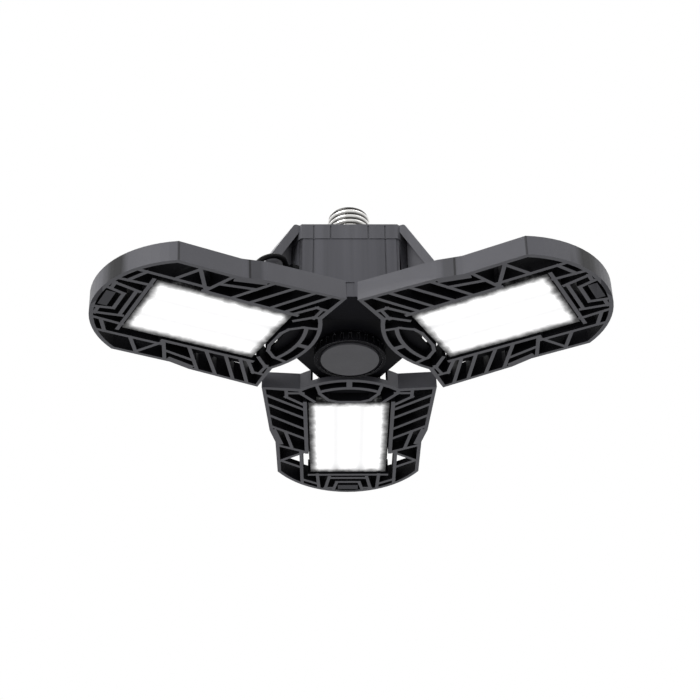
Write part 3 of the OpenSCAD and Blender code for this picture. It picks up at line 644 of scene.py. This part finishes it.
def shade_frame(side):
    """Gives walls and ledges inside the lattice a near-black painted shade, the outer wall its own coat and
    the end pad a darker painted shade.
    """
    piece = nodes[f"{side}_frame"]
    piece.data.materials.append(MATERIALS["painted_cell_shade"])
    piece.data.materials.append(MATERIALS[f"{side}_wall"])
    piece.data.materials.append(MATERIALS["pad"])
    outline = frame_outline()
    back = panel_matrix(side).inverted()
    turn = back.to_3x3().normalized()
    for face in piece.data.polygons:
        normal = turn @ face.normal
        middle = back @ face.center
        # Faces inside the lattice and on the end pad take painted shade.
        if abs(normal.z) > 0.7:
            pad = middle.z < 1.0 and middle.x > END_PAD[0] and abs(middle.y) < END_PAD[1]
            face.material_index = 3 if pad else 1 if 1.0 < middle.z < 8.0 else 0
        else:
            face.material_index = 1 if outline_distance(outline, middle.x, middle.y) > 0.3 else 2


for side in PANELS:
    shade_frame(side)

# ---------- screw cap ----------

THREAD_SIDES = 96
THREAD_RINGS = 16  # rings of points in one turn
THREAD_SHARPNESS = 0.85


def add_screw_shell():
    """The rolled thread: round crests and roots that climb one pitch a turn."""
    turns = SHELL_H / THREAD_PITCH
    steps = round(turns * THREAD_RINGS)
    run_out = 1.6
    bm = bmesh.new()
    outer, inner = [], []
    for i in range(steps + 1):
        z = SHELL_H * i / steps
        ease = min(1, z / run_out, (SHELL_H - z) / run_out)
        one, two = [], []
        for k in range(THREAD_SIDES):
            a = 2 * math.pi * k / THREAD_SIDES
            wave = 0.5 - 0.5 * math.cos(a - 2 * math.pi * z / THREAD_PITCH)
            r = THREAD_D / 2 - THREAD_DEPTH * (1 - ease + ease * wave ** THREAD_SHARPNESS)
            one.append(bm.verts.new((r * math.cos(a), r * math.sin(a), z)))
            r -= SHELL_T * 0.6
            two.append(bm.verts.new((r * math.cos(a), r * math.sin(a), z)))
        outer.append(one)
        inner.append(two)
    for wall, flip in ((outer, False), (inner, True)):
        for one, two in zip(wall, wall[1:]):
            for k in range(THREAD_SIDES):
                j = (k + 1) % THREAD_SIDES
                quad = (one[k], one[j], two[j], two[k])
                bm.faces.new(quad[::-1] if flip else quad)
    for one, two in ((outer[0], inner[0]), (inner[-1], outer[-1])):
        for k in range(THREAD_SIDES):
            j = (k + 1) % THREAD_SIDES
            bm.faces.new((two[k], two[j], one[j], one[k]))
    matrix = to_row(0) @ Matrix.Translation((0, 0, SHELL_Z))
    piece = finish_mesh("rolled_shell", bm, matrix)
    paint(piece, "thread")
    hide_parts("screw_shell")
    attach(piece, HUB)


add_screw_shell()

# ---------- LED chips ----------


def chip_places():
    pitch_x = (BOARD_L - 10) / CHIP_ROWS
    pitch_y = (BOARD_W - 8) / CHIP_COLUMNS
    for i in range(CHIP_ROWS):
        for j in range(CHIP_COLUMNS):
            yield LIGHT_X + (i - (CHIP_ROWS - 1) / 2) * pitch_x, (j - (CHIP_COLUMNS - 1) / 2) * pitch_y


def add_chips(side):
    """Square packages with rounded edges."""
    bm = bmesh.new()
    half = CHIP_SIZE / 2
    for x, y in chip_places():
        rounded_box(bm, (x - half, y - half, BOARD_Z - CHIP_T), (x + half, y + half, BOARD_Z), 0.15)
    piece = finish_mesh(f"{side}_chip_bodies", bm, panel_matrix(side))
    paint(piece, f"{side}_chip")
    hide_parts(f"{side}_led_chips")
    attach(piece, f"{side}_panel")


for side in PANELS:
    add_chips(side)

# ---------- glands ----------


def gland_profile():
    """Outline of a lead gland: flange, two ribs and a collar round the lead."""
    bore = LEAD_D / 2 + 0.05
    points = [
        (bore, 0.2), (GLAND_R, 0.2), (GLAND_R, 1.3), (GLAND_R - 0.8, 1.5), (GLAND_R - 0.8, 2.0),
        (GLAND_R - 0.4, 2.1), (GLAND_R - 0.4, 2.6), (GLAND_R - 0.9, 2.8), (GLAND_R - 0.9, 3.2),
        (GLAND_R - 0.7, 3.3), (GLAND_R - 0.8, 3.9), (bore, GLAND_H),
    ]
    return rounded(points, 0.15, 2)


def add_hub_glands():
    bm = bmesh.new()
    for azimuth, _ in PANELS.values():
        turn = Matrix.Rotation(math.radians(azimuth), 4, "Z")
        place = turn @ Matrix.Translation(HUB_GLAND) @ Matrix.Rotation(math.pi / 2, 4, "Y")
        lathe(bm, gland_profile(), 32, place)
    piece = finish_mesh("housing_gland_rings", bm, to_row(0))
    paint(piece, "rubber")
    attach(piece, HUB)


def add_panel_gland(side):
    bm = bmesh.new()
    lathe(bm, gland_profile(), 32, Matrix.Translation(PANEL_GLAND))
    piece = finish_mesh(f"{side}_gland_ring", bm, panel_matrix(side))
    paint(piece, "rubber")
    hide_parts(f"{side}_gland")
    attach(piece, f"{side}_panel")


add_hub_glands()
for side in PANELS:
    add_panel_gland(side)
    paint(leads[side], "rubber")

# ---------- studio ----------

FLOOR_Z = -1.5  # metres, as all lengths of the stage
FLOOR_HALF = 30.0
FLOOR_GLOW = 0.45  # what the eye and reflections see on top of the floor's own tone
FILL = 0.33  # the world's light on the object


def seen_by_eye(tree):
    """1 for the camera, reflections and clear pieces, and 0 for light that falls on the object."""
    path = tree.nodes.new("ShaderNodeLightPath")
    value = path.outputs["Is Camera Ray"]
    for key in ("Is Glossy Ray", "Is Transmission Ray"):
        value = math_node(tree, "MAXIMUM", value, path.outputs[key])
    return value


def add_stage():
    """A pale floor far below the hanging lamp."""
    mesh = bpy.data.meshes.new("floor")
    corners = [(x * FLOOR_HALF, y * FLOOR_HALF, FLOOR_Z) for x, y in ((-1, -1), (1, -1), (1, 1), (-1, 1))]
    mesh.from_pydata(corners, [], [(0, 1, 2, 3)])
    floor = new_object("floor", mesh)
    made, tree, shader, coords = material("floor")
    shader.inputs["Roughness"].default_value = 0.9
    shader.inputs["Specular IOR Level"].default_value = 0.1
    tone = noise(tree, coords, 3, 2)
    tree.links.new(mix_colour(tree, tone, (0.8, 0.8, 0.8), (0.84, 0.84, 0.84)), shader.inputs["Base Color"])
    shader.inputs["Emission Color"].default_value = (1, 1, 1, 1)
    glow = remap(tree, seen_by_eye(tree), 0, 1, 0, FLOOR_GLOW)
    tree.links.new(glow, shader.inputs["Emission Strength"])
    floor.data.materials.append(made)


def add_world(fill):
    """White to the camera, in reflections and through glass, and a plain even fill for everything else."""
    world = bpy.data.worlds.new("studio")
    bpy.context.scene.world = world
    world.use_nodes = True
    tree = world.node_tree
    background = tree.nodes["Background"]
    background.inputs["Color"].default_value = (1, 1, 1, 1)
    strength = remap(tree, seen_by_eye(tree), 0, 1, fill, 1.0)
    tree.links.new(strength, background.inputs["Strength"])


def add_lamp(name, at, aim, size, power):
    data = bpy.data.lights.new(name, "AREA")
    data.shape = "SQUARE"
    data.size = size
    data.energy = power
    lamp = bpy.data.objects.new(name, data)
    lamp.location = at
    lamp.rotation_euler = (Vector(aim) - Vector(at)).to_track_quat("-Z", "Y").to_euler()
    bpy.context.scene.collection.objects.link(lamp)


add_stage()
add_world(FILL)
add_lamp("front_soft", (-1.0, -1.3, 0.1), (0, 0, -0.06), 1.2, 18)
add_lamp("right_soft", (1.3, -0.9, 0.6), (0, 0, -0.06), 1.0, 3)
add_lamp("top_soft", (-0.2, 0.5, 1.4), (0, 0, -0.06), 1.2, 14)

bpy.context.scene.view_settings.view_transform = "Standard"
